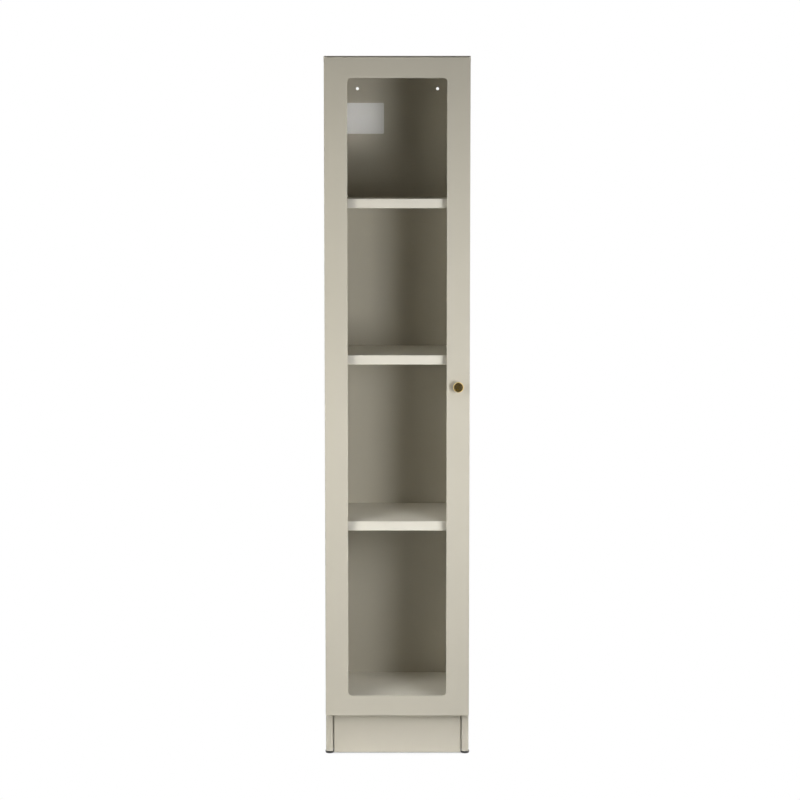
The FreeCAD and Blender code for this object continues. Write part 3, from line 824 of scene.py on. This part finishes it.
makeStuds(studShape)
makeNuts(nutShape)
print("fasteners made")


# Pane: float glass with dubbed corners and ground arrises
paneShape = {"corner": 2, "cornerSegments": 4, "arris": 0.4, "arrisSegments": 1}


def makePane(shape):
    low, high = (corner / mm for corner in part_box("glass_pane"))
    bm = bmesh.new()
    bmesh.ops.create_cube(bm, size=1)
    bmesh.ops.scale(bm, vec=high - low, verts=bm.verts)
    corners = [edge for edge in bm.edges if abs(edge.verts[0].co.y - edge.verts[1].co.y) > shape["arris"]]
    bevelled(bm, corners, "EDGES", shape["corner"], shape["cornerSegments"])
    rims = [edge for edge in bm.edges if isCorner(edge)]
    bevelled(bm, rims, "EDGES", shape["arris"], shape["arrisSegments"])
    placed(bm, (low + high) / 2)
    addPiece("float_glass", bm, clearGlass, "door", ["glass_pane"])


makePane(paneShape)


# Bumpers: soft domed discs stuck to the right front flange
bumperShape = {"crown": 1.6, "foot": 0.3, "steps": 48, "smooth": 40}


def makeBumpers(shape):
    boxes = solidsOf("door_bumpers")
    low, high = boxes[0]
    radius = (high.x - low.x) / 2
    height = high.y - low.y
    outline = [(0, 0, 0), (radius, 0, shape["foot"]), (radius, height, shape["crown"]), (0, height, 0)]
    bm = repeated(turned(outline, shape["steps"]), centresAt(boxes, high.y), towardsFront)
    piece = addPiece("soft_bumpers", bm, clearRubber, "carcass", ["door_bumpers"])
    smoothBy(piece, shape["smooth"])


makeBumpers(bumperShape)


# Blank sticker on the inside of the back panel
stickerShape = {
    "left": -147,
    "right": -37.3,
    "low": 1648.8,
    "high": 1733.4,
    "thickness": 0.15,
    "corner": 3,
    "sheet": 1,  # thickness of the panel that carries it
}


def makeSticker(shape):
    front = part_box("back_panel")[1].y / mm - shape["sheet"]
    bm = rectangle(shape["right"] - shape["left"], shape["high"] - shape["low"])
    bevelled(bm, bm.verts[:], "VERTICES", shape["corner"], roundSegments)
    thickened(bm, shape["thickness"])
    middle = ((shape["left"] + shape["right"]) / 2, front, (shape["low"] + shape["high"]) / 2)
    placed(bm, middle, towardsFront)
    addPiece("blank_sticker", bm, stickerStock, "carcass", [])


makeSticker(stickerShape)
print("pane, bumpers and sticker made")


# Studio: pale floor, white surround, soft boxes all round and dark cards that keep the glass clear
floorSetup = {
    "radius": 7000,
    "segments": 96,
    "colour": (0.94, 0.94, 0.93),
    "roughness": 1.0,
    "shadowReach": 450,
    "shadowFrom": 0.05,  # open share of the sky where the shadow is deepest
    "shadowTo": 0.5,  # and where it ends
    "shadowGlow": 0.45,
}
surround = {"ambient": (1.0, 0.99, 0.97), "strength": 0.02}
white = (1.0, 1.0, 1.0)
warm = (1.0, 0.97, 0.88)
fullSpread = 180
lamps = {  # for the front
    "rightBox": {"place": (634, -1378, 1050), "aim": (0, -150, 1050), "size": (300, 700), "power": 8.1},
    "wideRightBox": {"place": (826, -1378, 870), "aim": (0, -150, 870), "size": (550, 450), "power": 5.2},
    "leftBox": {
        "place": (-780, -1100, 1330), "aim": (0, -150, 1330), "size": (400, 600),
        "power": 5.7, "colour": warm,
    },
    "lowLeftBox": {
        "place": (-700, -1000, 120), "aim": (0, -150, 200), "size": (400, 200),
        "power": 1.8, "colour": warm,
    },
    "baseLeftBox": {
        "place": (-500, -800, 1600), "aim": (-100, -200, 100), "size": (400, 300),
        "power": 0.6, "spread": 60,
    },
    "baseRightBox": {
        "place": (500, -800, 1600), "aim": (100, -200, 100), "size": (400, 300),
        "power": 0.22, "spread": 60,
    },
    "frontBox": {"place": (0, -3000, 1100), "aim": (0, -150, 1000), "size": (600, 600), "power": 1.3},
    "baseFrontBox": {
        "place": (0, -1500, 420), "aim": (0, -165, 0), "size": (420, 60),
        "power": 0.02, "spread": 9,
    },
    "upperRightBox": {
        "place": (300, -1378, 1560), "aim": (-105, 150, 1690), "size": (80, 120),
        "power": 0.008, "spread": 7,
    },
}
fillLamps = {  # for the other sides
    "rearRightBox": {"place": (1100, 2400, 1300), "aim": (0, 100, 950), "size": (1200, 1400), "power": 25.0},
    "rearLeftBox": {"place": (-1300, 2200, 1300), "aim": (0, 100, 950), "size": (1200, 1400), "power": 20.0},
    "sideLeftBox": {"place": (-1500, 300, 1000), "aim": (-180, 0, 950), "size": (900, 1500), "power": 6.0},
    "sideRightBox": {"place": (1500, 300, 1000), "aim": (180, 0, 950), "size": (900, 1500), "power": 5.5},
    "overhead": {"place": (0, 600, 3600), "aim": (0, 100, 1000), "size": (1600, 1200), "power": 26.0},
}
darkCards = {  # dark: how far the dark reaches from the middle before it fades
    "cardBehind": {"place": (0, -7200, 2600), "size": (2800, 5400), "lean": 90, "dark": 1300},
    "cardFar": {"place": (0, -4825, 2), "size": (1000, 4650), "lean": 0, "dark": 450},
    "cardNear": {"place": (0, -1575, 2), "size": (680, 1850), "lean": 0, "dark": 200},
}
cardGlow = 0.04


def seenShare(tree):  # 1 for rays that show the background to the eye, metal or glass
    path = addNode(tree, "LightPath").outputs
    shiny = calc(tree, "MAXIMUM", path["Is Glossy Ray"], path["Is Transmission Ray"])
    return calc(tree, "MAXIMUM", path["Is Camera Ray"], shiny)


def makeFloor(setup):
    material, tree, shader = newMaterial("paleFloor")
    shader.inputs["Base Color"].default_value = setup["colour"] + (1.0,)
    shader.inputs["Roughness"].default_value = setup["roughness"]
    openSky = addNode(tree, "AmbientOcclusion", {"Distance": setup["shadowReach"] * mm}).outputs["AO"]
    shadowInputs = {
        "Value": openSky,
        "From Min": setup["shadowFrom"],
        "From Max": setup["shadowTo"],
        "To Min": setup["shadowGlow"],
        "To Max": 1.0,
    }
    shadow = addNode(tree, "MapRange", shadowInputs, interpolation_type="SMOOTHSTEP").outputs["Result"]
    seen = addNode(tree, "Emission", {"Strength": shadow})
    blend = addNode(tree, "MixShader", {0: seenShare(tree), 1: shader.outputs[0], 2: seen.outputs[0]})
    tree.links.new(blend.outputs[0], tree.nodes["Material Output"].inputs["Surface"])
    bm = bmesh.new()
    bmesh.ops.create_circle(bm, cap_ends=True, radius=setup["radius"] * mm, segments=setup["segments"])
    floor = linkMesh("floor", bm, material)
    return floor


def makeSurround(setup):
    world = bpy.data.worlds.new("surround")
    world.use_nodes = True
    scene.world = world
    tree = world.node_tree
    dim = tree.nodes["Background"]
    dim.inputs["Color"].default_value = setup["ambient"] + (1.0,)
    dim.inputs["Strength"].default_value = setup["strength"]
    bright = addNode(tree, "Background", {"Color": white + (1.0,), "Strength": 1.0})
    blend = addNode(tree, "MixShader", {0: seenShare(tree), 1: dim.outputs[0], 2: bright.outputs[0]})
    tree.links.new(blend.outputs[0], tree.nodes["World Output"].inputs["Surface"])


def makeLamp(name, setup):
    data = bpy.data.lights.new(name, "AREA")
    data.shape = "RECTANGLE"
    data.size = setup["size"][0] * mm
    data.size_y = setup["size"][1] * mm
    data.energy = setup["power"]
    data.color = setup.get("colour", white)
    data.spread = math.radians(setup.get("spread", fullSpread))
    lamp = bpy.data.objects.new(name, data)
    lamp.location = Vector(setup["place"]) * mm
    aim = Vector(setup["aim"]) - Vector(setup["place"])
    lamp.rotation_euler = aim.to_track_quat("-Z", "Y").to_euler()
    lamp.visible_camera = False
    lamp.visible_glossy = False
    scene.collection.objects.link(lamp)
    return lamp


# The floor takes no light from these, or it would throw it in through the glass
def makeFillLamps(setups, floor):
    leftOut = bpy.data.collections.new("leftOut")
    leftOut.objects.link(floor)
    leftOut.collection_objects[0].light_linking.link_state = "EXCLUDE"
    for name, setup in setups.items():
        makeLamp(name, setup).light_linking.receiver_collection = leftOut


def makeCard(name, setup, glow):
    material, tree, shader = newMaterial(name)
    tree.nodes.remove(shader)
    spot = addNode(tree, "TexCoord").outputs["Object"]
    sideways = calc(tree, "ABSOLUTE", addNode(tree, "SeparateXYZ", {"Vector": spot}).outputs["X"])
    fadeInputs = {  # from dark to the white around it
        "Value": sideways,
        "From Min": setup["dark"] * mm,
        "From Max": setup["size"][0] / 2 * mm,
        "To Min": glow,
        "To Max": 1.0,
    }
    fade = addNode(tree, "MapRange", fadeInputs, interpolation_type="SMOOTHSTEP").outputs["Result"]
    emission = addNode(tree, "Emission", {"Strength": fade})
    tree.links.new(emission.outputs[0], tree.nodes["Material Output"].inputs["Surface"])
    bm = rectangle(*setup["size"])
    placed(bm, setup["place"], Matrix.Rotation(math.radians(setup["lean"]), 4, "X"))
    card = linkMesh(name, bm, material)
    card.visible_camera = False
    card.visible_diffuse = False
    card.visible_shadow = False
    card.visible_transmission = False


floor = makeFloor(floorSetup)
makeSurround(surround)
for name, setup in lamps.items():
    makeLamp(name, setup)
makeFillLamps(fillLamps, floor)
for name, setup in darkCards.items():
    makeCard(name, setup, cardGlow)
print("studio set")
